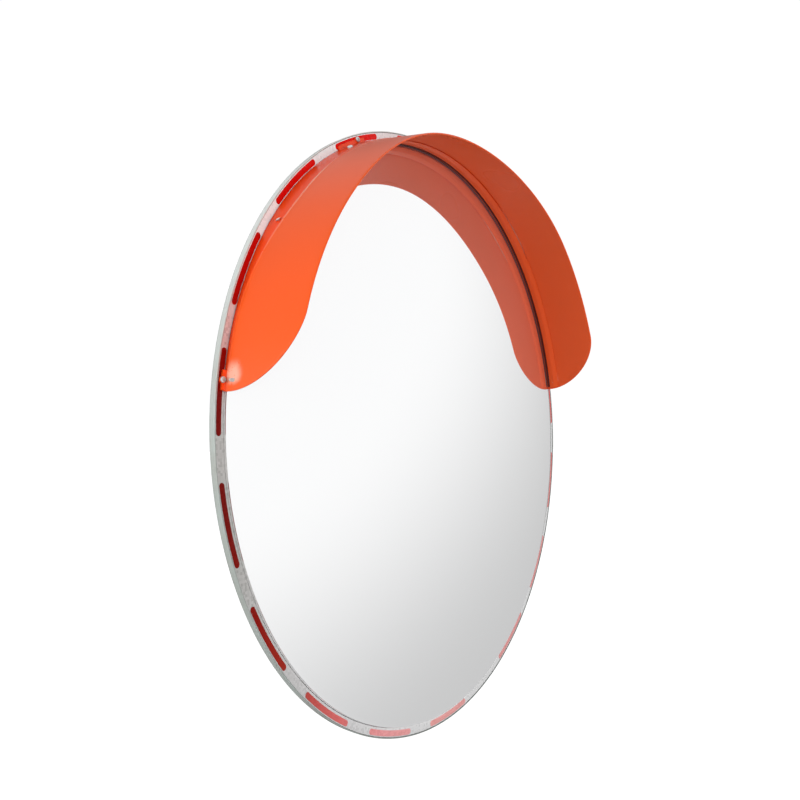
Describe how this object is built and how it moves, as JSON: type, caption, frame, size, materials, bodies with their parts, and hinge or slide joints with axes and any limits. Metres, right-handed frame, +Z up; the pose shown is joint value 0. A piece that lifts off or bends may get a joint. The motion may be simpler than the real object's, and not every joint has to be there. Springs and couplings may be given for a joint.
{
  "type": "traffic convex mirror",
  "caption": "Round convex road mirror with an orange hood and red-and-silver reflective rim, on a post clamp that pans and tilts.",
  "frame": {"origin": "axis of the post, at the middle height of the clamp", "axes": "+Z up along the post, -Y the way the mirror looks, +X to the right of someone who faces the mirror"},
  "size_m": [0.8, 0.3633, 0.8],
  "materials": {
    "mirror_face": "polished",
    "orange_plastic": "glossy",
    "grey_trim": "satin",
    "reflective_film": "semi-gloss",
    "rubber": "matte",
    "galvanised_steel": "galvanised",
    "zinc_steel": "zinc plated",
    "nylon": "matte"
  },
  "bodies": {
    "clamp": {"pole_saddle": "galvanised_steel", "pole_strap": "galvanised_steel", "clamp_bolt_1": "zinc_steel", "clamp_bolt_2": "zinc_steel", "clamp_bolt_3": "zinc_steel", "clamp_bolt_4": "zinc_steel", "clamp_nut_1": "zinc_steel", "clamp_nut_2": "zinc_steel", "clamp_nut_3": "zinc_steel", "clamp_nut_4": "zinc_steel", "clamp_washer_1": "zinc_steel", "clamp_washer_2": "zinc_steel", "clamp_washer_3": "zinc_steel", "clamp_washer_4": "zinc_steel", "pan_bolt": "zinc_steel", "pan_nut": "zinc_steel", "pan_washer_1": "zinc_steel", "pan_washer_2": "zinc_steel", "pan_disc_1": "nylon", "pan_disc_2": "nylon"},
    "swivel": {"swivel_yoke": "galvanised_steel", "tilt_bolt": "zinc_steel", "tilt_nut": "zinc_steel", "tilt_washer_1": "zinc_steel", "tilt_washer_2": "zinc_steel", "tilt_disc_1": "nylon", "tilt_disc_2": "nylon", "tilt_spacer": "zinc_steel"},
    "head": {"mirror_dome": "mirror_face", "back_shell": "orange_plastic", "edge_trim": "grey_trim", "rim_gasket": "rubber", "reflective_film": "reflective_film", "hood": "orange_plastic", "hood_seal": "rubber", "hood_root_strip": "orange_plastic", "backing_plate": "galvanised_steel", "tilt_bracket": "galvanised_steel", "bracket_nut_1": "zinc_steel", "bracket_nut_2": "zinc_steel", "bracket_nut_3": "zinc_steel", "bracket_nut_4": "zinc_steel", "bracket_washer_1": "zinc_steel", "bracket_washer_2": "zinc_steel", "bracket_washer_3": "zinc_steel", "bracket_washer_4": "zinc_steel", "hood_screw_1": "zinc_steel", "hood_screw_2": "zinc_steel", "hood_screw_3": "zinc_steel", "hood_screw_4": "zinc_steel", "hood_screw_5": "zinc_steel", "hood_screw_6": "zinc_steel", "rim_screw_1": "zinc_steel", "rim_screw_2": "zinc_steel", "rim_screw_3": "zinc_steel", "rim_screw_4": "zinc_steel"}
  },
  "joints": [
    {"name": "pan", "type": "hinge", "parent": "clamp", "child": "swivel", "pos_m": [0, -0.07, 0], "axis": [0, 0, 1], "range_deg": [-30, 30]},
    {"name": "tilt", "type": "hinge", "parent": "swivel", "child": "head", "pos_m": [0, -0.124, 0], "axis": [1, 0, 0], "range_deg": [-20, 20]}
  ]
}
